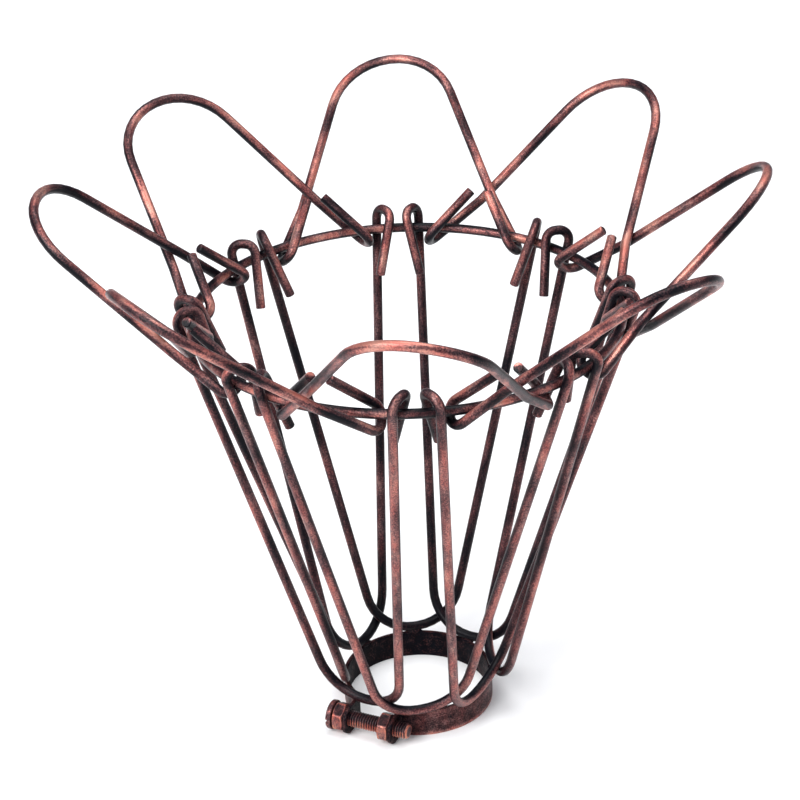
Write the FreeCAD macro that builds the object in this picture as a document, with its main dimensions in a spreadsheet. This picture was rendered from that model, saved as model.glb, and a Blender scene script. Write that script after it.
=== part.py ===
"""Bulb cage guard: a wire basket with eight hinged petals on a split clamping collar.

The frame stands upright: +Z is up, the origin is on the collar's axis at its lower edge, and
station 1 points along +Y. Stations are counted clockwise seen from above. Lengths are in
millimetres and angles in degrees.
"""
import FreeCAD, Part
import math
import os

import Sketcher

Vector = FreeCAD.Vector
Rotation = FreeCAD.Rotation
Placement = FreeCAD.Placement

Z_AXIS = Vector(0, 0, 1)

# as many side wires as petals, one of each at every station
STATIONS = 8
FIRST_AZIMUTH = 90.0
STATION_STEP = 360.0 / STATIONS

SIZES = {
    # wire and ring
    "wire_diameter": 2.8,
    "ring_radius": 60.0,
    "ring_height": 126.5,
    # side wires
    "side_hook_offset": 5.5,
    "side_hook_rise": 2.8,
    "side_hook_seat": 0.25,
    "side_hook_play": 0.55,
    "side_hook_skew": 3.6,
    "side_tail_length": 12.0,
    "side_tail_splay": 1.0,
    "foot_bend_radius": 14.0,
    "foot_overhang": 0.5,
    "weld_depth": 0.25,
    "side_crossing_gap": 0.15,
    # petals
    "petal_hook_offset": 12.0,
    "petal_length": 62.7,
    "petal_tip_radius": 18.5,
    "petal_tilt": 49.0,
    "petal_hook_play": 0.5,
    "petal_hook_skew": 2.0,
    "petal_hook_drop": 1.4,
    "petal_tail_length": 13.0,
    "petal_crossing_gap": 0.4,
    "petal_knee_height": 14.0,
    "petal_knee_radius": 10.0,
    # collar band and its ears
    "collar_bore": 42.0,
    "band_thickness": 1.2,
    "band_height": 8.4,
    "ear_bend_radius": 1.2,
    "ear_gap": 13.2,
    "ear_gap_shift": -3.6,
    "ear_hole": 5.3,
    "ear_end_flat": 0.4,
    "clamp_azimuth": 243.5,
    # clamp screw and nuts
    "screw_reach": 25.6,
    "screw_rise": 0.4,
    "screw_diameter": 4.8,
    "screw_length": 23.6,
    "screw_end_chamfer": 0.6,
    "head_diameter": 8.8,
    "head_thickness": 1.6,
    "head_edge": 0.5,
    "head_gap": 0.35,
    "slot_width": 1.2,
    "slot_depth": 0.8,
    "nut_across_flats": 7.8,
    "nut_thickness": 3.4,
    "thread_clearance": 0.05,
    "nut_seat_gap": 0.05,
}

# short straights between the two bends of a rounded loop end
FOOT_FLAT = 0.6
TIP_FLAT = 0.3
# how far a side wire's foot ends are set in and out, as a share of the spacing where two feet cross
LAY_PER_CROSSING = 0.816
# how far a petal's tip is twisted, as a multiple of the set of its legs
TWIST_PER_LAY = 1.6
# bend radius of a hook, as a share of half its width
BEND_SHARE = 0.95
# lengths under this count as none when edges are looked for
SAME_PLACE = 1e-6
HEX_SIDES = 6
NUT_CORNER_SLOPE = 30

doc = FreeCAD.newDocument("bulb_cage_guard")
sheet = doc.addObject("Spreadsheet::Sheet", "sizes")
for row, (alias, value) in enumerate(SIZES.items(), start=1):
    sheet.set(f"A{row}", alias)
    sheet.set(f"B{row}", str(value))
    sheet.setAlias(f"B{row}", alias)
doc.recompute()


def size(alias):
    """Value of one named cell."""
    return float(sheet.get(alias))


def polar(radius, azimuth, height):
    """Point at a radius and an azimuth (radians) about the collar's axis."""
    return Vector(radius * math.cos(azimuth), radius * math.sin(azimuth), height)


def about_axis(azimuth):
    """Turn about the collar's axis."""
    return Placement(Vector(), Rotation(Z_AXIS, azimuth))


# Bent wire

def bent_path(points, bends):
    """Wire through the points, each inner corner rounded by a tangent arc of its bend radius."""
    edges = []
    start = points[0]
    for before, corner, after, bend in zip(points, points[1:], points[2:], bends):
        back = (before - corner).normalize()
        ahead = (after - corner).normalize()
        half_angle = back.getAngle(ahead) / 2
        reach = bend / math.tan(half_angle)
        middle_way = (back + ahead).normalize()
        arc_start = corner + back * reach
        arc_end = corner + ahead * reach
        arc_middle = corner + middle_way * (bend / math.sin(half_angle) - bend)
        edges.append(Part.LineSegment(start, arc_start).toShape())
        edges.append(Part.Arc(arc_start, arc_middle, arc_end).toShape())
        start = arc_end
    edges.append(Part.LineSegment(start, points[-1]).toShape())
    return Part.Wire(edges)


def wire_gauge(name, path):
    """Round section of the wire, square to the start of its path."""
    section = doc.addObject("Part::Circle", name)
    section.setExpression("Radius", "sizes.wire_diameter / 2")
    first = path.Edges[0]
    direction = first.tangentAt(first.FirstParameter)
    section.Placement = Placement(first.Vertexes[0].Point, Rotation(Z_AXIS, direction))
    return section


def wire_set(name, points, bends, placements):
    """One bent shape, swept once for each placement."""
    spine = doc.addObject("Part::Feature", f"{name}_path")
    spine.Shape = bent_path(points, bends)
    section = wire_gauge(f"{name}_gauge", spine.Shape)
    wires = []
    for number, placement in enumerate(placements, start=1):
        wire = doc.addObject("Part::Sweep", f"{name}_{number}")
        wire.Label = f"{name}_{number}"
        wire.Sections = [section]
        wire.Spine = (spine, [f"Edge{i + 1}" for i in range(len(spine.Shape.Edges))])
        wire.Solid = True
        wire.Frenet = False
        wire.Placement = placement
        wires.append(wire)
    return wires


def round_end(half_width, height, radius, flat):
    """Half width of the corner points, and lean of the legs, of a rounded loop end.

    The legs run from the points (half_width, 0) and meet an arc of the radius whose top is at the
    height, with a short flat in its middle.
    """
    rise = height - radius
    lean = math.atan2(half_width, rise) - math.asin(radius / math.hypot(half_width, rise))
    corner = radius * math.tan((math.pi / 2 - lean) / 2) + flat / 2
    return corner, lean


def station_azimuth(index):
    """Azimuth of a station, counted clockwise from the first."""
    return FIRST_AZIMUTH - index * STATION_STEP


# Top ring

def top_ring():
    """Closed wire ring that carries the hooks."""
    ring = doc.addObject("Part::Torus", "top_ring")
    ring.Label = "top_ring"
    ring.setExpression("Radius1", "sizes.ring_radius")
    ring.setExpression("Radius2", "sizes.wire_diameter / 2")
    ring.setExpression("Placement.Base.z", "sizes.ring_height")
    return ring


# Side wires: each a long U welded to the collar, with both ends hooked over the ring

def side_wires():
    """Eight equal wires, each with its foot on the collar at its own station."""
    wire = size("wire_diameter")
    ring_radius = size("ring_radius")
    ring_height = size("ring_height")
    foot_height = size("band_height") + wire / 2 - size("weld_depth")
    foot_radius = size("collar_bore") / 2 + size("band_thickness") + size("foot_overhang")
    span = math.radians(STATION_STEP - size("side_hook_offset"))
    leg_out = wire + size("side_hook_seat")
    tail_in = wire + size("side_hook_play")
    loop_height = wire + size("side_hook_rise")
    hook_bend = BEND_SHARE * (leg_out + tail_in) / 2
    foot_bend = size("foot_bend_radius")
    foot_half, _ = round_end(ring_radius * math.sin(span), ring_height - foot_height, foot_bend,
                             FOOT_FLAT)
    # the counter-clockwise leg is laid inside the leg that crosses it, the clockwise leg outside
    lay = LAY_PER_CROSSING * (wire + size("side_crossing_gap"))

    def leg(side):
        """Corner points from the foot to the tail: side 1 is counter-clockwise, -1 clockwise."""
        azimuth = side * span
        foot = Vector(foot_radius - side * lay, side * foot_half, foot_height)
        foot_along = foot.dot(polar(1, azimuth, 0))
        slope = (ring_radius - foot_along) / (ring_height - foot_height)
        square = math.hypot(1, slope)
        top = ring_height + loop_height
        outer = ring_radius + leg_out * square + slope * loop_height
        inner = ring_radius - tail_in * square + slope * loop_height
        tail_length = size("side_tail_length")
        end_radius = inner - slope * (tail_length + loop_height)
        skew = side * size("side_hook_skew") / ring_radius
        splay = side * size("side_tail_splay") / ring_radius
        return [foot,
                polar(outer, azimuth, top),
                polar(inner, azimuth + skew, top),
                polar(end_radius, azimuth - splay, ring_height - tail_length)]

    points = leg(1)[::-1] + leg(-1)
    bends = [hook_bend, hook_bend, foot_bend, foot_bend, hook_bend, hook_bend]
    placements = [about_axis(station_azimuth(k)) for k in range(STATIONS)]
    return wire_set("side_wire", points, bends, placements)


# Petals: each a rounded loop hooked under the ring, turning about the chord between its hooks

def petals():
    """Eight equal petals, each standing at the tilt at its own station."""
    wire = size("wire_diameter")
    ring_radius = size("ring_radius")
    length = size("petal_length")
    span = math.radians(STATION_STEP - size("petal_hook_offset"))
    half_chord = ring_radius * math.sin(span)
    slot = wire + size("petal_hook_play")
    hook_low = -(size("petal_hook_drop") + slot)
    hook_bend = BEND_SHARE * slot
    tip_radius = size("petal_tip_radius")
    tip_half, lean = round_end(half_chord, length, tip_radius, TIP_FLAT)
    # the clockwise leg is laid inside the leg that crosses it, the counter-clockwise leg outside
    lay = (wire + size("petal_crossing_gap")) / 2

    def leg(side):
        """Corner points from the tip to the tail: side 1 is clockwise, -1 counter-clockwise."""
        def on_leg(along, inward, shift=0.0):
            return Vector(side * (half_chord - along * math.tan(lean) + shift), along, inward)

        skew = size("petal_hook_skew")
        return [Vector(side * tip_half, length, side * lay * TWIST_PER_LAY - slot),
                on_leg(size("petal_knee_height"), side * lay - slot),
                on_leg(hook_low, -slot, skew),
                on_leg(hook_low, slot, -skew),
                on_leg(size("petal_tail_length"), slot, -skew)]

    points = leg(1)[::-1] + leg(-1)
    knee = size("petal_knee_radius")
    bends = [hook_bend, hook_bend, knee, tip_radius, tip_radius, knee, hook_bend, hook_bend]
    # in the petal's own frame X runs clockwise along the chord, Y up the petal, Z to its inner side
    tilt = math.radians(size("petal_tilt"))
    upright = Vector(math.sin(tilt), 0, math.cos(tilt))
    inner_side = Vector(-math.cos(tilt), 0, math.sin(tilt))
    chord = Vector(0, -1, 0)
    hinge = Placement(Vector(ring_radius * math.cos(span), 0, size("ring_height")),
                      Rotation(chord, upright, inner_side, "ZXY"))
    placements = [about_axis(station_azimuth(k)) * hinge for k in range(STATIONS)]
    return wire_set("petal", points, bends, placements)


# Sketched pieces

def new_body(label, placement):
    """Empty body of one piece."""
    body = doc.addObject("PartDesign::Body", label)
    body.Label = label
    body.Placement = placement
    return body


def new_sketch(body, name, role):
    """Empty sketch on one of the body's own origin planes."""
    plane = next(f for f in body.Origin.OriginFeatures if f.Role == role)
    sketch = body.newObject("Sketcher::SketchObject", name)
    sketch.AttachmentSupport = [(plane, "")]
    sketch.MapMode = "FlatFace"
    return sketch


def bind(sketch, constraint, name, expression):
    """Add a dimension and tie it to the sheet."""
    number = sketch.addConstraint(constraint)
    sketch.renameConstraint(number, name)
    sketch.setExpression(f"Constraints.{name}", expression)


def value_of(expression):
    """Number that a sheet expression gives."""
    return float(sheet.evalExpression(expression))


def outline(sketch, corners, tag="corner"):
    """Closed outline of straight lines; each corner is a pair of sheet expressions."""
    places = [Vector(value_of(x), value_of(y), 0) for x, y in corners]
    first = sketch.GeometryCount
    count = len(places)
    for i, place in enumerate(places):
        sketch.addGeometry(Part.LineSegment(place, places[(i + 1) % count]))
    for i in range(count):
        after = first + (i + 1) % count
        sketch.addConstraint(Sketcher.Constraint("Coincident", first + i, 2, after, 1))
    for i, (place, (x, y)) in enumerate(zip(places, corners)):
        line = first + i
        bind(sketch, Sketcher.Constraint("DistanceX", -1, 1, line, 1, place.x), f"{tag}_{i}_x", x)
        bind(sketch, Sketcher.Constraint("DistanceY", -1, 1, line, 1, place.y), f"{tag}_{i}_y", y)


def round_hole(sketch, radius, x=None, y=None):
    """Circle of a bound radius, at the origin or at a bound place."""
    place = Vector(value_of(x), value_of(y), 0) if x else Vector()
    value = value_of(radius)
    number = sketch.addGeometry(Part.Circle(place, Z_AXIS, value))
    bind(sketch, Sketcher.Constraint("Radius", number, value), "hole_radius", radius)
    if x:
        bind(sketch, Sketcher.Constraint("DistanceX", -1, 1, number, 3, place.x), "hole_x", x)
        bind(sketch, Sketcher.Constraint("DistanceY", -1, 1, number, 3, place.y), "hole_y", y)
    else:
        sketch.addConstraint(Sketcher.Constraint("Coincident", number, 3, -1, 1))


def pad(body, sketch, length):
    """Sketch raised by a bound length."""
    feature = body.newObject("PartDesign::Pad", f"{body.Label}_pad")
    feature.Profile = sketch
    feature.setExpression("Length", length)
    return feature


def pocket_through(body, sketch):
    """Sketch cut right through, both ways."""
    feature = body.newObject("PartDesign::Pocket", f"{body.Label}_hole")
    feature.Profile = sketch
    feature.Type = "ThroughAll"
    feature.SideType = "Symmetric"
    return feature


def turn(body, kind, sketch):
    """Revolution or groove about the body's own upright axis."""
    feature = body.newObject(kind, f"{body.Label}_{kind.split('::')[1].lower()}")
    feature.Profile = sketch
    feature.ReferenceAxis = (sketch, ["V_Axis"])
    feature.Angle = 360.0
    return feature


# Collar: one strip bent round the lamp holder, with both ends turned out as ears

def clamp_frame():
    """X points out through the clamp and Y along the screw, from its head to its end."""
    return about_axis(size("clamp_azimuth"))


def band_outline(sketch):
    """Plan of the strip: two concentric arcs, joined to a pair of parallel ears by tangent bends."""
    inner = size("collar_bore") / 2
    thickness = size("band_thickness")
    outer = inner + thickness
    bend = size("ear_bend_radius")
    end = size("screw_reach") + size("band_height") / 2
    middle = size("ear_gap_shift")
    half = size("ear_gap") / 2
    loops = {}
    for side in (1, -1):
        inside = middle + side * half
        outside = inside + side * thickness
        centre_y = outside + side * bend
        centre = Vector(math.sqrt((outer + bend) ** 2 - centre_y ** 2), centre_y, 0)
        loops[side] = (inside, outside, centre, math.atan2(centre.y, centre.x))

    def arc(centre, radius, start, stop):
        return sketch.addGeometry(Part.ArcOfCircle(Part.Circle(centre, Z_AXIS, radius), start, stop))

    def line(x1, y1, x2, y2):
        return sketch.addGeometry(Part.LineSegment(Vector(x1, y1, 0), Vector(x2, y2, 0)))

    turn_1, turn_2 = loops[-1][3], loops[1][3]
    bore = arc(Vector(), inner, turn_2, turn_1 + 2 * math.pi)
    back = arc(Vector(), outer, turn_2, turn_1 + 2 * math.pi)
    bind(sketch, Sketcher.Constraint("Radius", bore, inner), "bore_radius", "sizes.collar_bore / 2")
    bind(sketch, Sketcher.Constraint("Radius", back, outer), "outer_radius",
         "sizes.collar_bore / 2 + sizes.band_thickness")
    for circle in (bore, back):
        sketch.addConstraint(Sketcher.Constraint("Coincident", circle, 3, -1, 1))
    for side, name, sign in ((1, "far", "+"), (-1, "near", "-")):
        inside, outside, centre, azimuth = loops[side]
        if side > 0:
            start, stop, on_circle, on_ear, circle_end = azimuth + math.pi, 1.5 * math.pi, 1, 2, 1
        else:
            start, stop, on_circle, on_ear, circle_end = math.pi / 2, azimuth + math.pi, 2, 1, 2
        gap_bend = arc(centre, bend + thickness, start, stop)
        back_bend = arc(centre, bend, start, stop)
        gap_face = line(centre.x, inside, end, inside)
        ear_end = line(end, inside, end, outside)
        back_face = line(end, outside, centre.x, outside)
        for constraint in (
            Sketcher.Constraint("Tangent", bore, circle_end, gap_bend, on_circle),
            Sketcher.Constraint("Tangent", gap_bend, on_ear, gap_face, 1),
            Sketcher.Constraint("Coincident", gap_face, 2, ear_end, 1),
            Sketcher.Constraint("Coincident", ear_end, 2, back_face, 1),
            Sketcher.Constraint("Tangent", back_face, 2, back_bend, on_ear),
            Sketcher.Constraint("Tangent", back_bend, on_circle, back, circle_end),
            Sketcher.Constraint("Horizontal", gap_face),
            Sketcher.Constraint("Horizontal", back_face),
            Sketcher.Constraint("Vertical", ear_end),
        ):
            sketch.addConstraint(constraint)
        bind(sketch, Sketcher.Constraint("Radius", gap_bend, bend + thickness), f"{name}_gap_bend",
             "sizes.ear_bend_radius + sizes.band_thickness")
        bind(sketch, Sketcher.Constraint("Radius", back_bend, bend), f"{name}_back_bend",
             "sizes.ear_bend_radius")
        edge = f"sizes.ear_gap_shift {sign} sizes.ear_gap / 2"
        bind(sketch, Sketcher.Constraint("DistanceY", -1, 1, ear_end, 1, inside),
             f"{name}_gap_face", edge)
        bind(sketch, Sketcher.Constraint("DistanceY", -1, 1, ear_end, 2, outside),
             f"{name}_back_face", f"{edge} {sign} sizes.band_thickness")
        bind(sketch, Sketcher.Constraint("DistanceX", -1, 1, ear_end, 1, end), f"{name}_end",
             "sizes.screw_reach + sizes.band_height / 2")


def ear_end_edges(shape):
    """Names of the four edges that run through the strip's thickness at the ears' outer ends."""
    reach = max(vertex.X for vertex in shape.Vertexes)
    names = []
    for number, edge in enumerate(shape.Edges, start=1):
        box = edge.BoundBox
        if box.XMin > reach - SAME_PLACE and box.ZLength < SAME_PLACE:
            names.append(f"Edge{number}")
    return names


def collar_band():
    """Band with its two drilled and rounded ears."""
    body = new_body("collar_band", Placement())
    plan = new_sketch(body, "band_plan", "XY_Plane")
    band_outline(plan)
    pad(body, plan, "sizes.band_height")
    doc.recompute()
    hole = new_sketch(body, "ear_hole_plan", "XZ_Plane")
    round_hole(hole, "sizes.ear_hole / 2", "sizes.screw_reach",
               "sizes.band_height / 2 + sizes.screw_rise")
    drilled = pocket_through(body, hole)
    doc.recompute()
    rounded = body.newObject("PartDesign::Fillet", "ear_corners")
    rounded.Base = (drilled, ear_end_edges(drilled.Shape))
    rounded.setExpression("Radius", "(sizes.band_height - sizes.ear_end_flat) / 2")
    body.Placement = clamp_frame()
    return body


# Clamp screw and its two nuts

def on_screw(along):
    """Frame on the screw's axis at a distance along it: Z points to the screw's end."""
    centre = Vector(size("screw_reach"), along, size("band_height") / 2 + size("screw_rise"))
    return clamp_frame() * Placement(centre, Rotation(Vector(1, 0, 0), -90))


def near_ear_back():
    """Outer face of the ear on the head's side, along the screw."""
    return size("ear_gap_shift") - size("ear_gap") / 2 - size("band_thickness")


def clamp_screw():
    """Slotted screw, its head just clear of the nut that lies on the near ear."""
    seat = near_ear_back() - size("nut_seat_gap") - size("nut_thickness") - size("head_gap")
    body = new_body("clamp_screw", on_screw(seat))
    profile = new_sketch(body, "screw_profile", "XZ_Plane")
    head = "sizes.head_diameter / 2"
    shank = "sizes.screw_diameter / 2"
    outline(profile, [
        ("0", "-sizes.head_thickness"),
        (f"{head} - sizes.head_edge", "-sizes.head_thickness"),
        (head, "-sizes.head_thickness + sizes.head_edge"),
        (head, "0"),
        (shank, "0"),
        (shank, "sizes.screw_length - sizes.screw_end_chamfer"),
        (f"{shank} - sizes.screw_end_chamfer", "sizes.screw_length"),
        ("0", "sizes.screw_length"),
    ])
    turn(body, "PartDesign::Revolution", profile)
    doc.recompute()
    slot = new_sketch(body, "slot_plan", "YZ_Plane")
    outline(slot, [
        ("-sizes.slot_width / 2", "-sizes.head_thickness - sizes.slot_depth"),
        ("sizes.slot_width / 2", "-sizes.head_thickness - sizes.slot_depth"),
        ("sizes.slot_width / 2", "-sizes.head_thickness + sizes.slot_depth"),
        ("-sizes.slot_width / 2", "-sizes.head_thickness + sizes.slot_depth"),
    ])
    pocket_through(body, slot)
    return body


def hex_nut(label, along):
    """Nut on the screw, a corner downward and its corners turned off at both ends."""
    body = new_body(label, on_screw(along))
    plan = new_sketch(body, f"{label}_plan", "XY_Plane")
    corner = f"sizes.nut_across_flats / (2 * cos({180 / HEX_SIDES}))"
    turns = [360 / HEX_SIDES * (i + 0.5) for i in range(HEX_SIDES)]
    outline(plan, [(f"{corner} * cos({angle})", f"{corner} * sin({angle})") for angle in turns])
    round_hole(plan, "sizes.screw_diameter / 2 + sizes.thread_clearance")
    pad(body, plan, "sizes.nut_thickness")
    doc.recompute()
    corners = new_sketch(body, f"{label}_corners", "XZ_Plane")
    flat = "sizes.nut_across_flats / 2"
    beyond = "sizes.nut_across_flats"
    slope = f"(sizes.nut_across_flats / 2) * tan({NUT_CORNER_SLOPE})"
    outline(corners, [(flat, "0"), (beyond, "0"), (beyond, slope)], "lower")
    outline(corners, [(flat, "sizes.nut_thickness"), (beyond, f"sizes.nut_thickness - {slope}"),
                      (beyond, "sizes.nut_thickness")], "upper")
    turn(body, "PartDesign::Groove", corners)
    return body


def clamp_nuts():
    """The nut under the screw's head, and the nut inside the far ear."""
    gap = size("nut_seat_gap")
    thickness = size("nut_thickness")
    far_ear = size("ear_gap_shift") + size("ear_gap") / 2
    return [hex_nut("head_nut", near_ear_back() - gap - thickness),
            hex_nut("clamp_nut", far_ear - gap - thickness)]


# Build, check and write

pieces = [collar_band(), top_ring(), *side_wires(), *petals(), clamp_screw(), *clamp_nuts()]
doc.recompute()

for item in doc.Objects:
    if "Invalid" in item.State or "Error" in item.State:
        raise RuntimeError(f"{item.Label} failed: {item.State}")
for piece in pieces:
    if piece.Shape.isNull() or not piece.Shape.isValid() or len(piece.Shape.Solids) != 1:
        raise RuntimeError(f"{piece.Label} is not one valid solid")

os.makedirs("parts", exist_ok=True)
for piece in pieces:
    piece.Shape.exportStep(os.path.join("parts", f"{piece.Label}.step"))
    print(f"{piece.Label}: {piece.Shape.Volume:.1f} mm3")
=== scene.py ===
"""Bulb cage guard in antique copper: bent wires hooked round a ring, hinged petals and a clamp collar."""
import logging
import random
from abc import ABC, abstractmethod
from dataclasses import dataclass, field
from enum import Enum
from functools import partial
from math import asin, atan2, ceil, cos, hypot, inf, pi, radians, sin, sqrt, tan
from typing import Any, Callable, ClassVar, Sequence

import bmesh
import bpy
from mathutils import Matrix, Vector, noise


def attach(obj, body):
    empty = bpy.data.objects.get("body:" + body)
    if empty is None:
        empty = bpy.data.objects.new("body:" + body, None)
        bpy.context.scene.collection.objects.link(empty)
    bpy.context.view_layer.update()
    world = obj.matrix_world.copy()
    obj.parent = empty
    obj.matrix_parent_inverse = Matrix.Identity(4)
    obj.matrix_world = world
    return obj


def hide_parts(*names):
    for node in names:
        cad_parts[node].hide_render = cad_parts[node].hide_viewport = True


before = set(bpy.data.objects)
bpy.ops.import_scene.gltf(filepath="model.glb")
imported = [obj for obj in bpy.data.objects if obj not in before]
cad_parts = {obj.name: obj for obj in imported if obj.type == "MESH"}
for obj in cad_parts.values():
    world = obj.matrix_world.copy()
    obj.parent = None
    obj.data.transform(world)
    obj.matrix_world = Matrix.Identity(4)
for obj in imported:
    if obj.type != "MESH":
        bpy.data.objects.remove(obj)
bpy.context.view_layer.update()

log = logging.getLogger("bulb_cage_guard")

MM = 0.001
UP = Vector((0, 0, 1))
FULL_TURN = 2 * pi
QUARTER_TURN = pi / 2
STATIONS = 8
FIRST_AZIMUTH = radians(90)
STATION_STEP = FULL_TURN / STATIONS
SMOOTH_BELOW = radians(25)
SAME_PLACE = 1e-7
HEX_SIDES = 6
HEX_SECTOR = FULL_TURN / HEX_SIDES

Span = tuple[float, float]
Triple = tuple[float, float, float]
Piece = bpy.types.Object
Socket = bpy.types.NodeSocket

# A corner of a bent wire in millimetres with its bend radius, which is 0 at a cut end
Corner = tuple[Vector, float]

# Takes a place in millimetres and its outward normal, and says how far the black was brushed off there, with
# painted light and shade on the ring, hooks and petals
Brush = Callable[[Vector, Vector], float]


class Slot(Enum):
    """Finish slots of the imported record."""

    WIRE = "copper_wire"
    BAND = "copper_band"
    FASTENERS = "copper_fasteners"


class Half(Enum):
    """Which half of a bent wire or strip is meant, along its length."""

    FIRST = 1
    LAST = -1


class Merge(Enum):
    """How a piece is combined with another."""

    ADD = "UNION"
    CUT = "DIFFERENCE"


@dataclass(frozen=True)
class Fade:
    """Smooth change of a level while a measure goes from a start to an end."""

    start: float
    end: float
    first: float = 0.0
    last: float = 1.0

    def at(self, measure: float) -> float:
        """Level at a measure."""
        share = min(max((measure - self.start) / (self.end - self.start), 0.0), 1.0)
        return self.first + (self.last - self.first) * share * share * (3 - 2 * share)


def polar(radius: float, azimuth: float, height: float) -> Vector:
    """Point at a radius and azimuth about the cage's axis."""
    return Vector((radius * cos(azimuth), radius * sin(azimuth), height))


def about_axis(azimuth: float) -> Matrix:
    """Turn about the cage's axis."""
    return Matrix.Rotation(azimuth, 4, "Z")


def at_station(number: int) -> Matrix:
    """Turn from the X axis to a station, counted clockwise from the back, from 1."""
    return about_axis(FIRST_AZIMUTH - STATION_STEP * (number - 1))


def outward(place: Vector) -> Vector:
    """Level direction away from the cage's axis."""
    return Vector((place.x, place.y, 0)).normalized()


def round_angles(count: int) -> list[float]:
    """Equal steps of a full turn."""
    return [FULL_TURN * i / count for i in range(count)]


def round_end(half_width: float, height: float, radius: float, flat: float) -> Span:
    """Corner of a rounded end that joins two leaning legs.

    Args:
        half_width: Half the distance between the legs at their open ends.
        height: Height of the closed end above the open ends.
        radius: Bend radius at each corner of the closed end.
        flat: Straight length left between the two bends.

    Returns:
        Distance of each sharp corner from the middle, and the legs' lean.
    """
    rise = height - radius
    lean = atan2(half_width, rise) - asin(radius / hypot(half_width, rise))
    return radius * tan((QUARTER_TURN - lean) / 2) + flat / 2, lean


def add_object(name: str, data: bpy.types.ID) -> Piece:
    """Puts a mesh, lamp or camera into the scene.

    Args:
        name: The new object's name.
        data: What it holds.

    Returns:
        The object.
    """
    made = bpy.data.objects.new(name, data)
    bpy.context.scene.collection.objects.link(made)
    return made


def store_finish(mesh: bpy.types.Mesh, brushed: Sequence[float], grain: Sequence[Vector]) -> None:
    """Writes the two point attributes that the copper finish reads.

    Args:
        mesh: Mesh to write to.
        brushed: How far the black was brushed off at each point, with painted light and shade on the ring,
            hooks and petals.
        grain: Each point's place in the finish's own space.
    """
    for name, kind in (("brushed", "FLOAT"), ("grain", "FLOAT_VECTOR")):
        if name in mesh.attributes:
            mesh.attributes.remove(mesh.attributes[name])
        mesh.attributes.new(name, kind, "POINT")
    mesh.attributes["brushed"].data.foreach_set("value", list(brushed))
    mesh.attributes["grain"].data.foreach_set("vector", [c for g in grain for c in g])


def paint(piece: Piece, brush: Brush) -> None:
    """Works out the finish's attributes from each point's own place and normal."""
    points = piece.data.vertices
    store_finish(piece.data, [brush(v.co / MM, v.normal) for v in points], [v.co / MM for v in points])


def smooth(mesh: bpy.types.Mesh) -> None:
    """Shades a mesh smooth, but leaves edges over the smoothing angle sharp.

    Args:
        mesh: Mesh to shade.
    """
    mesh.polygons.foreach_set("use_smooth", [True] * len(mesh.polygons))
    mesh.set_sharp_from_angle(angle=SMOOTH_BELOW)
    mesh.update()


def combine(piece: Piece, tool: Piece, merge: Merge) -> None:
    """Joins or cuts a piece with another, which is used up.

    Args:
        piece: Piece that is changed.
        tool: Closed mesh that is added or taken away.
        merge: Which of the two is done.
    """
    step = piece.modifiers.new("combine", "BOOLEAN")
    step.operation = merge.value
    step.solver = "EXACT"
    step.object = tool
    shown = piece.evaluated_get(bpy.context.evaluated_depsgraph_get())
    result = bpy.data.meshes.new_from_object(shown)
    piece.modifiers.remove(step)
    piece.data = result
    cleaned = bmesh.new()
    cleaned.from_mesh(result)
    bmesh.ops.remove_doubles(cleaned, verts=cleaned.verts, dist=SAME_PLACE)
    cleaned.to_mesh(result)
    cleaned.free()
    smooth(result)
    bpy.data.objects.remove(tool)


@dataclass
class MeshDraft:
    """Points and faces of a piece in millimetres, with what its finish needs at each point."""

    points: list[Vector] = field(default_factory=list)
    faces: list[tuple[int, ...]] = field(default_factory=list)
    brushed: list[float] = field(default_factory=list)
    grain: list[Vector] = field(default_factory=list)

    def add_point(self, place: Vector, brushed: float = 0.0, grain: Vector | None = None) -> int:
        """Adds one point.

        Args:
            place: Where it is, in millimetres.
            brushed: How far the black was brushed off, 0 to 1, with painted light and shade on the ring,
                hooks and petals.
            grain: Place in the finish's own space, or None for the point's own place.

        Returns:
            The point's number.
        """
        self.points.append(place)
        self.brushed.append(brushed)
        self.grain.append(place if grain is None else grain)
        return len(self.points) - 1

    def skin(self, loops: Sequence[Sequence[int]], closed: bool = False) -> None:
        """Joins a row of loops with bands of faces.

        Args:
            loops: Loops of as many points each.
            closed: Whether the last loop joins the first; if not, both get a flat face.
        """
        count = len(loops[0])
        for first, second in zip(loops, [*loops[1:], loops[0]] if closed else loops[1:]):
            for i in range(count):
                j = (i + 1) % count
                self.faces.append((first[i], first[j], second[j], second[i]))
        if not closed:
            self.faces.append(tuple(reversed(loops[0])))
            self.faces.append(tuple(loops[-1]))

    def build(self, name: str, turn: Matrix) -> Piece:
        """Makes the object, with its place in its mesh.

        Args:
            name: The piece's name.
            turn: Turn into the cage's frame.

        Returns:
            The new object, smooth except at its sharp edges.
        """
        mesh = bpy.data.meshes.new(name)
        mesh.from_pydata([turn @ p * MM for p in self.points], [], self.faces)
        store_finish(mesh, self.brushed, self.grain)
        smooth(mesh)
        return add_object(name, mesh)


@dataclass
class NodeRecipe:
    """Adds nodes to a material and links them."""

    tree: bpy.types.NodeTree

    def feed(self, socket: Socket, value: Any) -> None:
        """Links an output to an input, or sets the input's value.

        Args:
            socket: The input.
            value: An output or a plain value.
        """
        if isinstance(value, Socket):
            self.tree.links.new(value, socket)
        else:
            socket.default_value = value

    def add(self, kind: str, output: str, inputs: dict[str | int, Any], **settings: Any) -> Socket:
        """Adds a node.

        Args:
            kind: Its type, without the word that all shader nodes share.
            output: Which of its outputs is used.
            inputs: A value or a linked output for each of its inputs.
            settings: Its own settings.

        Returns:
            The output.
        """
        node = self.tree.nodes.new("ShaderNode" + kind)
        for name, value in settings.items():
            setattr(node, name, value)
        for name, value in inputs.items():
            self.feed(node.inputs[name], value)
        return node.outputs[output]

    def between(self, span: Span, share: Socket, clamp: bool = True) -> Socket:
        """Value at a share of the way along a span, or past its ends without the clamp."""
        inputs = {"Value": share, "To Min": span[0], "To Max": span[1]}
        return self.add("MapRange", "Result", inputs, clamp=clamp)


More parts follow.
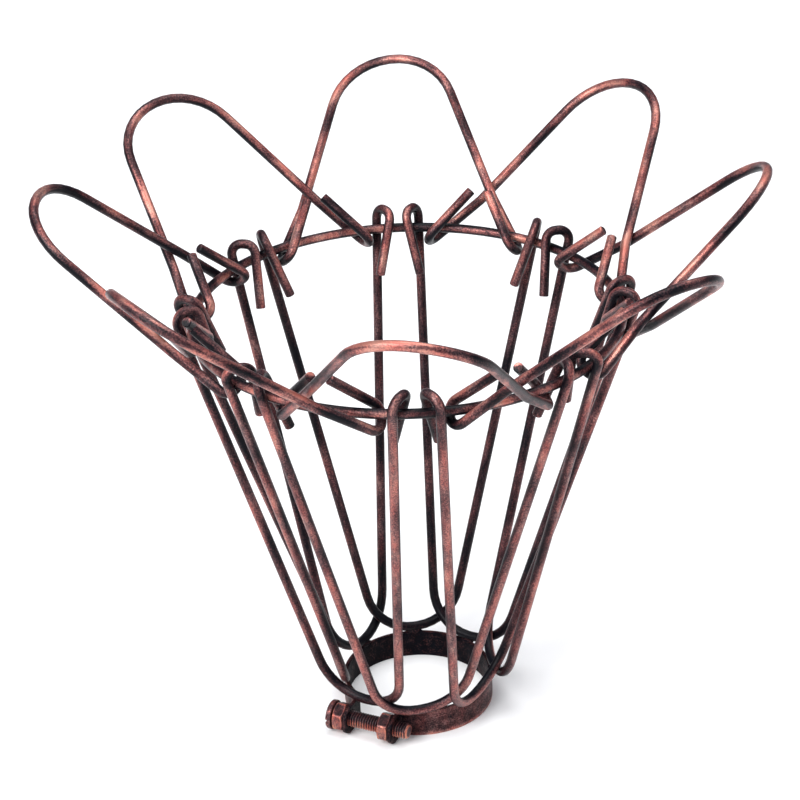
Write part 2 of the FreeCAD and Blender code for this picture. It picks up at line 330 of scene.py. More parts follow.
@dataclass(frozen=True)
class Clouds:
    """Cloudy noise over a finish's own space, in millimetres."""

    size: float
    depth: float
    stretch: float = 1.0
    shift: float = 0.0
    detail: float = 3.0
    roughness: float = 0.6

    def noise(self, nodes: NodeRecipe, grain: Socket) -> Socket:
        """Noise that is drawn out along the wire and read aside by the shift.

        Args:
            nodes: Recipe to add it to.
            grain: Place in the finish's own space.

        Returns:
            A value from 0 to 1.
        """
        place = nodes.add("VectorMath", "Vector", operation="MULTIPLY_ADD", inputs={
            0: grain, 1: (1, 1, 1 / self.stretch), 2: (self.shift, 0, 0)})
        return nodes.add("TexNoise", "Fac", {
            "Vector": place, "Scale": 1 / self.size, "Detail": self.detail, "Roughness": self.roughness})

    def swing(self, nodes: NodeRecipe, grain: Socket) -> Socket:
        """Noise turned into a swing by the depth to either side of nothing."""
        return nodes.between((-self.depth, self.depth), self.noise(nodes, grain), clamp=False)


@dataclass(frozen=True)
class AntiqueCopper:
    """Copper plate, blackened and then brushed back to copper where a brush reaches, with painted light and
    shade on the ring, hooks and petals.
    """

    name: str
    slot: Slot
    black: Triple = (0.0028, 0.0025, 0.0048)
    umber: Triple = (0.052, 0.0215, 0.0245)
    rose: Triple = (0.185, 0.071, 0.069)
    copper: Triple = (0.57, 0.212, 0.167)
    umber_from: float = 0.34
    rose_from: float = 0.60
    patches: Clouds = Clouds(5.0, 1.50, stretch=3.5)
    specks: Clouds = Clouds(0.42, 0.72, detail=4.0)
    tints: Clouds = Clouds(3.0, 1.1, stretch=2.0, shift=517.0)
    tooth: Clouds = Clouds(0.25, 0.30, detail=2.0)

    # Each on black and on bare copper
    roughness: Span = (0.30, 0.31)
    metal: Span = (0.0, 0.60)
    shine: Span = (0.13, 0.25)

    def material(self) -> bpy.types.Material:
        """The finish's material, made the first time it is asked for."""
        return bpy.data.materials.get(self.name) or self.make()

    def make(self) -> bpy.types.Material:
        """Makes the material.

        Returns:
            A material that reads the brushed and grain attributes.
        """
        made = bpy.data.materials.new(self.name)
        made.use_nodes = True
        nodes = NodeRecipe(made.node_tree)
        shader = made.node_tree.nodes["Principled BSDF"].inputs
        grain = nodes.add("Attribute", "Vector", {}, attribute_name="grain")
        bare = nodes.add("Attribute", "Fac", {}, attribute_name="brushed")
        for clouds in (self.patches, self.specks):
            bare = nodes.add("Math", "Value", {0: bare, 1: clouds.swing(nodes, grain)}, operation="ADD")
        nodes.feed(shader["Base Color"], self.colour(nodes, bare, grain))
        nodes.feed(shader["Roughness"], nodes.between(self.roughness, bare))
        nodes.feed(shader["Metallic"], nodes.between(self.metal, bare))
        nodes.feed(shader["Specular IOR Level"], nodes.between(self.shine, bare))
        nodes.feed(shader["Normal"], nodes.add("Bump", "Normal", {
            "Strength": self.tooth.depth, "Distance": self.tooth.size * MM,
            "Height": self.tooth.noise(nodes, grain)}))
        return made

    def colour(self, nodes: NodeRecipe, bare: Socket, grain: Socket) -> Socket:
        """Black through umber and rose to copper, with more or less green and blue in clouds.

        Args:
            nodes: Recipe to add it to.
            bare: How bare the copper is.
            grain: Place in the finish's own space.

        Returns:
            The colour.
        """
        ramp = nodes.add("ValToRGB", "Color", {"Fac": bare})
        stops = ramp.node.color_ramp.elements
        stops[0].color = (*self.black, 1)
        stops[1].color = (*self.copper, 1)
        stops.new(self.umber_from).color = (*self.umber, 1)
        stops.new(self.rose_from).color = (*self.rose, 1)
        power = nodes.add("Math", "Value", {0: 2, 1: self.tints.swing(nodes, grain)}, operation="POWER")
        tint = nodes.add("CombineXYZ", "Vector", {"X": 1, "Y": power, "Z": power})
        return nodes.add("VectorMath", "Vector", {0: ramp, 1: tint}, operation="MULTIPLY")


@dataclass
class SubAssembly(ABC):
    """Part of the guard that is built and dressed on its own."""

    finish: AntiqueCopper

    @abstractmethod
    def build(self) -> None:
        """Builds and dresses its pieces."""

    def dress(self, piece: Piece, body: str, *nodes: str) -> None:
        """Gives a piece its finish and sets it on the body it moves with.

        Args:
            piece: Piece to dress.
            body: Body that carries it.
            nodes: Solids that it stands for.
        """
        piece.data.materials.clear()
        piece.data.materials.append(self.finish.material())
        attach(piece, body)
        if nodes:
            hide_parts(*nodes)
        log.info("%s rides on %s, %d faces", piece.name, body, len(piece.data.polygons))


@dataclass
class BentWire:
    """Round wire bent along straight runs and tangent arcs, with both ends cut square."""

    corners: list[Corner]
    radius: float
    sides: int = 18
    run_step: float = 3.0
    arc_step: float = radians(10)
    arc_least: int = 2
    cut_edge: float = 0.22

    def centre_line(self) -> list[Vector]:
        """Lays out the wire's middle.

        Returns:
            Points along it, close together round the bends.
        """
        places = [place for place, _ in self.corners]
        line = [places[0]]
        for i, (corner, bend) in enumerate(self.corners[1:-1], start=1):
            before = (corner - places[i - 1]).normalized()
            after = (places[i + 1] - corner).normalized()
            angle = before.angle(after)
            start = corner - before * (bend * tan(angle / 2))
            across = before.cross(after).normalized()
            centre = start + across.cross(before) * bend
            self.run_to(line, start)
            steps = max(self.arc_least, ceil(angle / self.arc_step))
            for step in range(1, steps + 1):
                turn = Matrix.Rotation(angle * step / steps, 3, across)
                line.append(centre + turn @ (start - centre))
        self.run_to(line, places[-1])
        return line

    def run_to(self, line: list[Vector], end: Vector) -> None:
        """Carries a line straight on to a point.

        Args:
            line: Points so far, which are added to.
            end: Where it goes.
        """
        start = line[-1]
        steps = max(1, ceil((end - start).length / self.run_step))
        line.extend(start.lerp(end, step / steps) for step in range(1, steps + 1))

    @staticmethod
    def tangents(line: Sequence[Vector]) -> list[Vector]:
        """Direction of travel at each point of a line."""
        last = len(line) - 1
        return [(line[min(i + 1, last)] - line[max(i - 1, 0)]).normalized() for i in range(last + 1)]

    def draft(self, brush: Brush, along: float) -> MeshDraft:
        """Skins the wire.

        Args:
            brush: How far the black was brushed off at a place, with painted light and shade.
            along: Where the wire starts along the finish's grain, so that no two match.

        Returns:
            The wire's closed skin.
        """
        made = MeshDraft()
        line = self.centre_line()
        tangents = self.tangents(line)
        lean = tangents[0].orthogonal().normalized()
        loops = []
        for i, (place, tangent) in enumerate(zip(line, tangents)):
            rings = [(place, 0.0)]
            if i == 0:
                rings = [(place, self.cut_edge), (place + tangent * self.cut_edge, 0.0)]
            else:
                along += (place - line[i - 1]).length
                lean = tangents[i - 1].rotation_difference(tangent) @ lean
            if i == len(line) - 1:
                rings = [(place - tangent * self.cut_edge, 0.0), (place, self.cut_edge)]
            for middle, inset in rings:
                loop = []
                for angle in round_angles(self.sides):
                    normal = lean * cos(angle) + tangent.cross(lean) * sin(angle)
                    spot = middle + normal * (self.radius - inset)
                    loop.append(made.add_point(spot, brush(spot, normal), polar(self.radius, angle, along)))
                loops.append(loop)
        made.skin(loops)
        return made


@dataclass
class TopRing(SubAssembly):
    """Closed ring that every hook is bent round."""

    radius: float = 60.0
    height: float = 126.5
    wire: float = 2.8
    steps: int = 160
    sides: int = 18

    # Brushing by how far a spot faces sideways, and painted shade by how far it faces down
    least_bare: float = 0.02
    sideways: Fade = Fade(0.25, 0.85, 0.0, 0.58)
    upward: Fade = Fade(-0.45, 0.05)

    # How a hook is hidden from a brush, by its distance in wire widths and how far it faces the ring
    hidden_near: Fade = Fade(1.7, 0.9, 0.0, 0.8)
    hidden_facing: Fade = Fade(0.0, 0.7)

    def nearest(self, place: Vector) -> Vector:
        """Point of the ring's middle line nearest to a place."""
        return outward(place) * self.radius + UP * self.height

    def hidden(self, place: Vector, normal: Vector) -> float:
        """How much of a hook's brushing the ring keeps away.

        Args:
            place: Spot on the hook.
            normal: Its outward normal.

        Returns:
            A share from 0 to 1.
        """
        toward = self.nearest(place) - place
        facing = self.hidden_facing.at(normal.dot(toward.normalized()))
        return self.hidden_near.at(toward.length / self.wire) * facing

    def brush(self, place: Vector, normal: Vector) -> float:
        """Brushed on its inner and outer sides and black on top, with painted shade underneath."""
        side = self.sideways.at(abs(normal.dot(outward(place))))
        # The upward fade is painted shade: the ring's underside goes black by how far it faces down
        return self.least_bare + side * self.upward.at(normal.z)

    def build(self) -> None:
        """Builds and dresses the ring."""
        made = MeshDraft()
        loops = []
        for azimuth in round_angles(self.steps):
            away = polar(1, azimuth, 0)
            loop = []
            for angle in round_angles(self.sides):
                normal = away * cos(angle) + UP * sin(angle)
                spot = away * self.radius + UP * self.height + normal * (self.wire / 2)
                loop.append(made.add_point(spot, self.brush(spot, normal)))
            loops.append(loop)
        made.skin(loops[::-1], closed=True)
        self.dress(made.build("ring_wire", Matrix.Identity(4)), "cage", "top_ring")


@dataclass
class HookedWires(SubAssembly):
    """Eight equal wires, each hooked twice round the ring."""

    # Names of the piece, of the body that carries it and of the solid that it stands for
    names: ClassVar[tuple[str, str, str]]
    ring: TopRing
    wire: float = 2.8
    bend_share: float = 0.95
    grain_start: float = 0.0
    grain_step: float = 53.0

    @abstractmethod
    def leg(self, half: Half) -> list[Corner]:
        """Corners of one leg of the wire at the X axis, from its closed end to its cut end."""

    @abstractmethod
    def brush_at(self, number: int, place: Vector, normal: Vector) -> float:
        """How far the black was brushed off the wire of a station, with painted light and shade, at a spot
        of the wire at the X axis.
        """

    def build(self) -> None:
        """Builds and dresses all eight."""
        shape = BentWire(self.leg(Half.FIRST)[::-1] + self.leg(Half.LAST), self.wire / 2)
        for number in range(1, STATIONS + 1):
            name, body, node = (text.format(number) for text in self.names)
            draft = shape.draft(partial(self.brush_at, number), self.grain_start + self.grain_step * number)
            self.dress(draft.build(name, at_station(number)), body, node)


@dataclass
class SideWires(HookedWires):
    """Bent wires that are hooked over the ring and stand with their feet on the collar."""

    names: ClassVar[tuple[str, str, str]] = ("side_loop_{}", "cage", "side_wire_{}")
    hook_offset: float = radians(5.5)
    hook_rise: float = 2.8
    hook_seat: float = 0.25
    hook_play: float = 0.55
    hook_skew: float = 3.6
    tail_length: float = 12.0
    tail_splay: float = 1.0
    foot_bend: float = 14.0
    foot_flat: float = 0.6
    foot_radius: float = 22.7
    foot_height: float = 9.55
    crossing_gap: float = 0.15

    # How far the corners of the foot are set in and out, in spacings of two crossing wires
    lay_per_crossing: float = 0.816

    # Brushing of the legs by how far a spot faces outward, and of the hooks by how far sideways, with
    # painted light on the hooks by how far they face up
    leg_bare: Fade = Fade(-0.15, 0.85, 0.18, 0.58)
    hook_bare: Fade = Fade(0.25, 0.95, 0.02, 0.60)
    hook_sideways: float = 0.8
    hook_top_light: float = 0.5

    # Where the hooks are, by heights above the ring and distances outward of it in wire widths
    hook_from: Fade = Fade(-14.0, -7.0)
    hook_over: Fade = Fade(0.0, 2.0)
    hook_inside: Fade = Fade(0.4, -0.6)

    # Black at the feet by the height above them, on their upper and inner sides, and soot beside the clamp
    foot_black: Fade = Fade(14.0, 2.0, 0.0, 0.40)
    foot_facing: Fade = Fade(-0.2, 0.6)
    foot_inward: float = 0.6
    soot: Fade = Fade(13.0, 3.0, 0.0, 0.75)
    sooted_station: int = 6

    def leg(self, half: Half) -> list[Corner]:
        """Lays out one leg of the wire at the X axis.

        Args:
            half: Which leg.

        Returns:
            Foot, both corners of the hook, and the cut end.
        """
        ring = self.ring
        side = half.value
        azimuth = side * (STATION_STEP - self.hook_offset)
        rise = ring.height - self.foot_height
        foot_half, _ = round_end(ring.radius * sin(abs(azimuth)), rise, self.foot_bend, self.foot_flat)
        shift = self.lay_per_crossing * (self.wire + self.crossing_gap)
        foot = Vector((self.foot_radius - side * shift, side * foot_half, self.foot_height))
        slope = (ring.radius - foot.dot(polar(1, azimuth, 0))) / rise
        square = hypot(1, slope)
        loop = self.wire + self.hook_rise
        outer = ring.radius + (self.wire + self.hook_seat) * square + slope * loop
        inner = ring.radius - (self.wire + self.hook_play) * square + slope * loop
        end = inner - slope * (self.tail_length + loop)
        skew = side * self.hook_skew / ring.radius
        splay = side * self.tail_splay / ring.radius
        top = ring.height + loop
        hook = self.bend_share * (2 * self.wire + self.hook_seat + self.hook_play) / 2
        return [(foot, self.foot_bend), (polar(outer, azimuth, top), hook),
                (polar(inner, azimuth + skew, top), hook),
                (polar(end, azimuth - splay, ring.height - self.tail_length), 0.0)]

    def brush_at(self, number: int, place: Vector, normal: Vector) -> float:
        """Evenly brushed outside, black inside and at the feet, and bare copper round the hooks, with
        painted light on their tops.

        Args:
            number: The wire's station.
            place: Spot on the wire at the X axis.
            normal: Its outward normal.

        Returns:
            How far the black was brushed off, with painted light on the hooks' tops.
        """
        away = normal.dot(outward(place))
        above = place.z - self.ring.height
        beyond = (place - self.ring.nearest(place)).dot(outward(place)) / self.wire
        from_foot = place.z - self.foot_height
        leg = self.leg_bare.at(away)
        # Painted light: the hooks are lighter on their tops by how far they face up
        hook = self.hook_bare.at(self.hook_sideways * abs(away) + self.hook_top_light * normal.z)
        in_hook = self.hook_from.at(above) * max(self.hook_inside.at(beyond), self.hook_over.at(above))
        value = leg + (hook - leg) * in_hook
        value -= self.foot_black.at(from_foot) * self.foot_facing.at(normal.z - self.foot_inward * away)
        value *= 1 - self.ring.hidden(place, normal)
        if number == self.sooted_station:
            value *= 1 - self.soot.at(from_foot)
        return value


@dataclass
class Petals(HookedWires):
    """Wire petals that swing on the ring by the hooks at their feet."""

    names: ClassVar[tuple[str, str, str]] = ("petal_wire_{}", "petal_{}", "petal_{}")
    grain_start: float = 233.0
    grain_step: float = 83.0
    hook_offset: float = radians(12)
    length: float = 62.7
    tip_radius: float = 18.5
    tip_flat: float = 0.3
    tilt: float = radians(49)
    hook_play: float = 0.5
    hook_skew: float = 2.0
    hook_drop: float = 1.4
    tail_length: float = 13.0
    crossing_gap: float = 0.4
    knee_height: float = 14.0
    knee_radius: float = 10.0

    # How far the corners of the tip are set in and out, against those of the knees
    twist_per_lay: float = 1.6

    # Brushing by how far a spot faces inward or outward, with painted light on the sides that face up and
    # painted shade on those that face down
    bare: Fade = Fade(0.0, 0.75, 0.02, 0.64)
    face_inward: float = 0.7
    inner_top_light: float = 0.5
    outer_top_light: float = 0.4

    # How much more of the black was brushed off each petal, by hand
    wear: tuple[float, ...] = (-0.03, 0.0, 0.03, 0.0, 0.09, 0.0, -0.11, -0.12)

    def inner(self) -> Vector:
        """Direction of the inner side of the petal at the X axis."""
        return Vector((-cos(self.tilt), 0, sin(self.tilt)))

    def leg(self, half: Half) -> list[Corner]:
        """Lays out one leg of the wire at the X axis.

        Args:
            half: Which leg.

        Returns:
            Tip, knee, both corners of the hook, and the cut end.
        """
        side = half.value
        half_angle = STATION_STEP - self.hook_offset
        half_chord = self.ring.radius * sin(half_angle)

        # Hinge frame with X clockwise along the chord, Y up the petal and Z to its inner side
        up_petal = Vector((sin(self.tilt), 0, cos(self.tilt)))
        turn = Matrix([Vector((0, -1, 0)), up_petal, self.inner()]).transposed().to_4x4()
        middle = polar(self.ring.radius * cos(half_angle), 0, self.ring.height)
        hinge = Matrix.Translation(middle) @ turn

        slot = self.wire + self.hook_play
        low = -(self.hook_drop + slot)
        tip_half, lean = round_end(half_chord, self.length, self.tip_radius, self.tip_flat)
        shift = side * (self.wire + self.crossing_gap) / 2

        def on_leg(along: float, inward: float, aside: float = 0.0) -> Vector:
            """Point at a height on the leg, moved inward and sideways."""
            return hinge @ Vector((side * (half_chord - along * tan(lean) + aside), along, inward))

        tip = hinge @ Vector((side * tip_half, self.length, shift * self.twist_per_lay - slot))
        hook = self.bend_share * slot
        return [(tip, self.tip_radius), (on_leg(self.knee_height, shift - slot), self.knee_radius),
                (on_leg(low, -slot, self.hook_skew), hook), (on_leg(low, slot, -self.hook_skew), hook),
                (on_leg(self.tail_length, slot, -self.hook_skew), 0.0)]

    def brush_at(self, number: int, place: Vector, normal: Vector) -> float:
        """Bare copper on both faces, with more black along the edges and where the ring hides it, painted
        light on the sides that face up and painted shade underneath.

        Args:
            number: The petal's station.
            place: Spot on the petal at the X axis.
            normal: Its outward normal.

        Returns:
            How far the black was brushed off, with painted light and shade.
        """
        inner = self.inner() * self.face_inward
        # The upward weights paint light on the petals' upper sides and shade on their undersides
        face = max(normal.dot(inner + UP * self.inner_top_light), normal.dot(UP * self.outer_top_light - inner))
        return self.bare.at(face) * (1 - self.ring.hidden(place, normal)) + self.wear[number - 1]


@dataclass
class Collar(SubAssembly):
    """Strip bent round the lamp holder, with both ends turned out as drilled and rounded ears."""

    bore: float = 42.0
    thickness: float = 1.2
    height: float = 8.4
    ear_bend: float = 1.2
    ear_gap: float = 13.2
    ear_gap_shift: float = -3.6
    ear_hole: float = 5.3
    ear_end_flat: float = 0.4
    screw_reach: float = 25.6
    screw_rise: float = 0.4
    azimuth: float = radians(243.5)
    edge: float = 0.22
    edge_share: float = 0.8
    edge_steps: int = 3
    face_steps: int = 6
    band_step: float = radians(3)
    bend_steps: int = 8
    end_steps: int = 12
    hole_sides: int = 48

    # Brushing by how far a spot faces outward, and of the rims by the height past them, more on the lower
    face_bare: Fade = Fade(-0.5, 0.7, -0.06, 0.32)
    rim: Fade = Fade(-0.9, -0.2)
    rim_facing: Fade = Fade(-0.5, 0.1)
    rim_bare: float = 0.14
    lower: Fade = Fade(1.0, 0.0)
    lower_bare: float = 0.36

    # Black by the angle from the clamp, less on the lower rim, and on the ears by the distance from the band
    clamp_black: Fade = Fade(0.60, 0.25, 0.0, 0.7)
    clamp_rim: float = 0.6
    ear_black: Fade = Fade(0.6, 2.0, 0.0, 0.7)
    ear_bare: float = 0.10

    def at_clamp(self) -> Matrix:
        """Turn from the clamp's frame, with X outward and Y along the screw, into the cage's."""
        return about_axis(self.azimuth)

    def outer(self) -> float:
        """Radius of the band's outside."""
        return self.bore / 2 + self.thickness

    def end_radius(self) -> float:
        """Radius of the ears' rounded ends."""
        return (self.height - self.ear_end_flat) / 2

    def on_screw(self, along: float, radius: float = 0.0, angle: float = 0.0) -> Vector:
        """Point about the screw's axis, in the clamp's frame."""
        return Vector((self.screw_reach + radius * cos(angle), along,
                       self.height / 2 + self.screw_rise + radius * sin(angle)))

    def turned(self, profile: Sequence[Span], sides: int) -> MeshDraft:
        """Turns a profile about the screw's axis.

        Args:
            profile: Distances along the axis, with radii.
            sides: Points round each turn.

        Returns:
            A closed skin in the clamp's frame.
        """
        made = MeshDraft()
        made.skin([[made.add_point(self.on_screw(along, radius, angle)) for angle in round_angles(sides)]
                   for along, radius in profile])
        return made

    def bend_centre(self, half: Half) -> Vector:
        """Centre of the bend between the band and an ear, in the clamp's frame."""
        y = self.ear_gap_shift + half.value * (self.ear_gap / 2 + self.thickness + self.ear_bend)
        return Vector((sqrt((self.outer() + self.ear_bend) ** 2 - y ** 2), y, 0))

    def middle_line(self) -> list[tuple[Vector, float]]:
        """Plan of the strip's middle, from the far ear's end to the near one's.

        Returns:
            Each point with its distance from the nearest ear's end.
        """
        far, near = self.bend_centre(Half.FIRST), self.bend_centre(Half.LAST)
        bend = self.ear_bend + self.thickness / 2
        band = self.bore / 2 + self.thickness / 2
        end = self.screw_reach + self.height / 2
        count = self.bend_steps
        far_turn, near_turn = (atan2(c.y, c.x) for c in (far, near))
        far_bend, near_bend = far_turn - QUARTER_TURN, near_turn + QUARTER_TURN
        sweep = near_turn + FULL_TURN - far_turn
        steps = ceil(sweep / self.band_step)
        turns = [QUARTER_TURN * i / self.end_steps for i in range(self.end_steps + 1)]
        rounded = [self.end_radius() * (1 - cos(turn)) for turn in turns]
        line = [(Vector((end - d, far.y - bend, 0)), d) for d in [*rounded, end - far.x]]
        line += [(far + polar(bend, far_bend * i / count - QUARTER_TURN, 0), inf)
                 for i in range(1, count + 1)]
        line += [(polar(band, far_turn + sweep * i / steps, 0), inf) for i in range(1, steps)]
        line += [(near + polar(bend, near_turn + pi - near_bend * i / count, 0), inf) for i in range(count)]
        return line + [(Vector((end - d, near.y + bend, 0)), d) for d in [end - near.x, *rounded[::-1]]]

    def section(self, from_end: float) -> list[Span]:
        """Strip's section with rounded edges.

        Args:
            from_end: Distance from the strip's rounded end.

        Returns:
            Points as outward and upward distances from its middle, counter-clockwise.
        """
        radius = self.end_radius()
        short = max(radius - from_end, 0.0)
        half_height = self.height / 2 - radius + sqrt(radius ** 2 - short ** 2)
        edge = min(self.edge, half_height * self.edge_share)
        half = self.thickness / 2
        made = []
        for corner, (across, up) in enumerate(((1, 1), (-1, 1), (-1, -1), (1, -1))):
            for step in range(self.edge_steps + 1):
                angle = QUARTER_TURN * (corner + step / self.edge_steps)
                made.append((across * (half - edge) + edge * cos(angle),
                             up * (half_height - edge) + edge * sin(angle)))
            if across != up:
                for step in range(1, self.face_steps):
                    share = 1 - 2 * step / self.face_steps
                    made.append((across * half, up * (half_height - edge) * share))
        return made

    def brush(self, place: Vector, normal: Vector) -> float:
        """Mottled outside, black in the bore and by the clamp, and bare copper along the rims.

        Args:
            place: Spot on the collar.
            normal: Its outward normal.

        Returns:
            How far the black was brushed off.
        """
        away = normal.dot(outward(place))
        middle = self.height / 2
        lower = self.lower.at(place.z / middle)
        rim = self.rim.at(abs(place.z - middle) - middle)
        local = self.at_clamp().inverted() @ place
        black = self.clamp_black.at(abs(atan2(local.y, local.x)))
        value = self.face_bare.at(away)
        value += (self.rim_bare + self.lower_bare * lower) * rim * self.rim_facing.at(away)
        value *= 1 - black * (1 - self.clamp_rim * rim * lower)
        ear = self.ear_black.at(hypot(place.x, place.y) - self.outer())
        return value + (self.ear_bare - value) * ear

    def build(self) -> None:
        """Builds and dresses the collar."""
        made = MeshDraft()
        line = self.middle_line()
        loops = []
        for (place, from_end), heading in zip(line, BentWire.tangents([place for place, _ in line])):
            away = heading.cross(UP)
            loops.append([made.add_point(place + away * u + UP * (self.height / 2 + v))
                          for u, v in self.section(from_end)])
        made.skin(loops)
        piece = made.build("clamp_collar", self.at_clamp())
        hole = [(y, self.ear_hole / 2) for y in (self.bore / 2, -self.bore / 2)]
        drill = self.turned(hole, self.hole_sides).build("ear_drill", self.at_clamp())
        combine(piece, drill, Merge.CUT)
        paint(piece, self.brush)
        self.dress(piece, "cage", "collar_band")


@dataclass
class FootWelds(SubAssembly):
    """Small beads that hold the side wires' feet to the collar's rim."""

    collar: Collar
    radius: float = 21.9
    length: float = 2.6
    width: float = 1.05
    height: float = 0.75
    bead_detail: int = 3
    lump_height: float = 0.25
    lump_scale: float = 1.6
    lump_field: float = 50.0
    bare_station: int = 6
    seed: int = 4
    bare: Fade = Fade(-0.2, 0.8, 0.04, 0.18)

    def brush(self, place: Vector, normal: Vector) -> float:
        """Black, with a little copper outside."""
        return self.bare.at(normal.dot(outward(place)))

    def build(self) -> None:
        """Builds and dresses the beads as one piece."""
        lumps = random.Random(self.seed)
        beads = bmesh.new()
        for number in range(1, STATIONS + 1):
            if number == self.bare_station:
                continue
            start = Vector([lumps.uniform(0, self.lump_field) for _ in range(3)])
            bead = bmesh.ops.create_icosphere(beads, subdivisions=self.bead_detail, radius=1.0)["verts"]
            for v in bead:
                swell = 1 + self.lump_height * noise.noise(v.co * self.lump_scale + start)
                local = Vector((self.radius + v.co.x * self.width * swell, v.co.y * self.length * swell,
                                self.collar.height + v.co.z * self.height * swell))
                v.co = at_station(number) @ local * MM
        mesh = bpy.data.meshes.new("foot_welds")
        beads.to_mesh(mesh)
        beads.free()
        smooth(mesh)
        piece = add_object("foot_welds", mesh)
        paint(piece, self.brush)
        self.dress(piece, "cage")


@dataclass
class ClampScrew(SubAssembly):
    """Slotted screw through both ears, with a rolled thread."""

    collar: Collar
    head_from: float = -15.2
    length: float = 23.6
    diameter: float = 4.8
    pitch: float = 0.8
    thread_depth: float = 0.45
    end_chamfer: float = 0.6
    end_rim: float = 0.45
    head_diameter: float = 8.8
    head_thickness: float = 1.6
    head_edge: float = 0.5
    head_bevel: float = 0.15
    head_face_share: float = 0.4
    slot_width: float = 1.2
    slot_depth: float = 0.8
    cutter_rise: float = 1.0
    root_in_head: float = 0.4
    sides: int = 32
    head_sides: int = 48
    edge_steps: int = 5

    # Shares of the pitch at which the root starts and ends, and then the crest
    thread_rows: tuple[float, ...] = (0.0, 0.25, 0.5625, 0.6875)
    first_crest_row: int = 2

    # Brushing by distances outward of the thread's crest, and of the thread's front by how far it faces down
    head_bare: Fade = Fade(1.0, 2.0, 0.22, 0.46)
    head_margin: float = 0.01
    front: Fade = Fade(0.60, 0.0)
    front_bare: float = 0.30
    raised: Fade = Fade(-0.36, -0.05)
    raised_bare: float = 0.28
    raised_front_bare: float = 0.60

    # Brushing of the screw's end, by distances past the edges of its chamfer
    end_rim_bare: Fade = Fade(0.1, -0.2, 0.0, 0.95)
    end_face_bare: Fade = Fade(-0.1, -0.4, 0.0, 0.30)

    def shank(self) -> Piece:
        """Threaded rod whose rows of points follow the helix.

        Returns:
            A closed rod from inside the head to the screw's end.
        """
        made = MeshDraft()
        low = -self.root_in_head
        per_turn = len(self.thread_rows)

        # The helix runs a turn past each end and is cut off there
        rows = (ceil((self.length - low) / self.pitch) + 2) * per_turn
        ends = []
        for row in range(rows):
            depth = 0.0 if row % per_turn >= self.first_crest_row else self.thread_depth
            share = row // per_turn + self.thread_rows[row % per_turn] - 1
            for i, angle in enumerate(round_angles(self.sides)):
                along = low + (share + i / self.sides) * self.pitch
                ends.append(-1 if along <= low else 1 if along >= self.length else 0)
                along = min(max(along, low), self.length)
                radius = self.diameter / 2 - max(depth, self.end_chamfer - (self.length - along))
                made.add_point(self.collar.on_screw(self.head_from + along, radius, angle))
        for row in range(rows - 1):
            for i in range(self.sides):
                wrap, j = divmod(i + 1, self.sides)
                after = row + wrap * per_turn
                if after + 1 >= rows:
                    continue
                face = (row * self.sides + i, (row + 1) * self.sides + i,
                        (after + 1) * self.sides + j, after * self.sides + j)
                if abs(sum(ends[p] for p in face)) < len(face):
                    made.faces.append(face)
        piece = made.build("screw_shank", self.collar.at_clamp())
        self.close(piece)
        return piece

    def close(self, rod: Piece) -> None:
        """Merges the points that meet at a rod's ends and closes them, with a rim on each end.

        Args:
            rod: Rod to close.
        """
        work = bmesh.new()
        work.from_mesh(rod.data)
        bmesh.ops.remove_doubles(work, verts=work.verts, dist=SAME_PLACE)
        loose = [v for v in work.verts if not v.link_faces]
        bmesh.ops.delete(work, geom=loose, context="VERTS")
        ends = bmesh.ops.holes_fill(work, edges=[e for e in work.edges if e.is_boundary], sides=0)["faces"]
        bmesh.ops.inset_individual(work, faces=ends, thickness=self.end_rim * MM)
        bmesh.ops.recalc_face_normals(work, faces=work.faces)
        work.to_mesh(rod.data)
        work.free()

    def head(self) -> Piece:
        """Turns the head and cuts its slot.

        Returns:
            A round head with a rolled edge.
        """
        radius = self.head_diameter / 2
        face = self.head_from - self.head_thickness
        profile = [(self.head_from, radius - self.head_bevel), (self.head_from - self.head_bevel, radius)]
        for step in range(self.edge_steps + 1):
            angle = QUARTER_TURN * step / self.edge_steps
            profile.append((face + self.head_edge * (1 - sin(angle)),
                            radius - self.head_edge * (1 - cos(angle))))
        profile.append((face, radius * self.head_face_share))
        at_clamp = self.collar.at_clamp()
        piece = self.collar.turned(profile, self.head_sides).build("clamp_bolt", at_clamp)
        combine(piece, self.slot_cutter().build("slot_cutter", at_clamp), Merge.CUT)
        return piece

    def slot_cutter(self) -> MeshDraft:
        """Drafts the bar that cuts the head's slot.

        Returns:
            The bar, across the whole head.
        """
        made = MeshDraft()
        half = self.slot_width / 2
        low, high = self.slot_depth, -self.cutter_rise
        base = self.collar.on_screw(self.head_from - self.head_thickness)
        made.skin([[made.add_point(base + Vector((x, y, z)))
                    for y, z in ((low, -half), (low, half), (high, half), (high, -half))]
                   for x in (-self.head_diameter, self.head_diameter)])
        return made

    def brush(self, place: Vector, normal: Vector) -> float:
        """Bare copper on the thread's crests and the head's edge, black in its roots.

        Args:
            place: Spot on the screw.
            normal: Its outward normal, which makes no difference here.

        Returns:
            How far the black was brushed off.
        """
        local = self.collar.at_clamp().inverted() @ place - self.collar.on_screw(self.head_from)
        off_axis = hypot(local.x, local.z)
        off_crest = off_axis - self.diameter / 2
        if local.y < self.head_margin:
            return self.head_bare.at(off_crest)
        face = self.end_face_bare.at(off_crest + self.end_chamfer)
        if face:
            return face
        front = self.front.at(local.z / off_axis)
        raised = self.raised.at(off_crest) * (self.raised_bare + self.raised_front_bare * front)
        return max(self.front_bare * front + raised,
                   self.end_rim_bare.at(self.length - local.y - self.end_chamfer))

    def build(self) -> None:
        """Builds and dresses the screw."""
        piece = self.head()
        combine(piece, self.shank(), Merge.ADD)
        paint(piece, self.brush)
        self.dress(piece, "clamp_screw", "clamp_screw")


